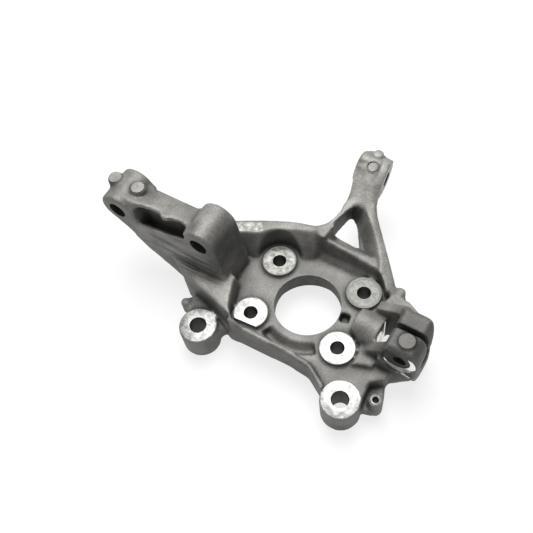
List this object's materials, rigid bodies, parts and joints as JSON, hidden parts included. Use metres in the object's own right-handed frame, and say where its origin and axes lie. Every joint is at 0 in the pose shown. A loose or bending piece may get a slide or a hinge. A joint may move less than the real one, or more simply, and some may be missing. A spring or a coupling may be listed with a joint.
{
  "type": "steering knuckle",
  "caption": "One-piece cast knuckle with a bearing throat, a strut arm, a windowed steering arm, caliper ears and a split ball joint clamp.",
  "frame": {"origin": "on the wheel axis, in the outboard face that the hub bearing bolts to", "axes": "+Z inboard along the wheel axis, +Y up towards the strut bolts, +X towards the tie rod eye"},
  "size_m": [0.244, 0.3225, 0.107],
  "materials": {
    "cast_aluminium": "sand-grey cast skin with bright milled faces"
  },
  "bodies": {
    "root": {"knuckle_casting": "cast_aluminium"}
  },
  "joints": []
}
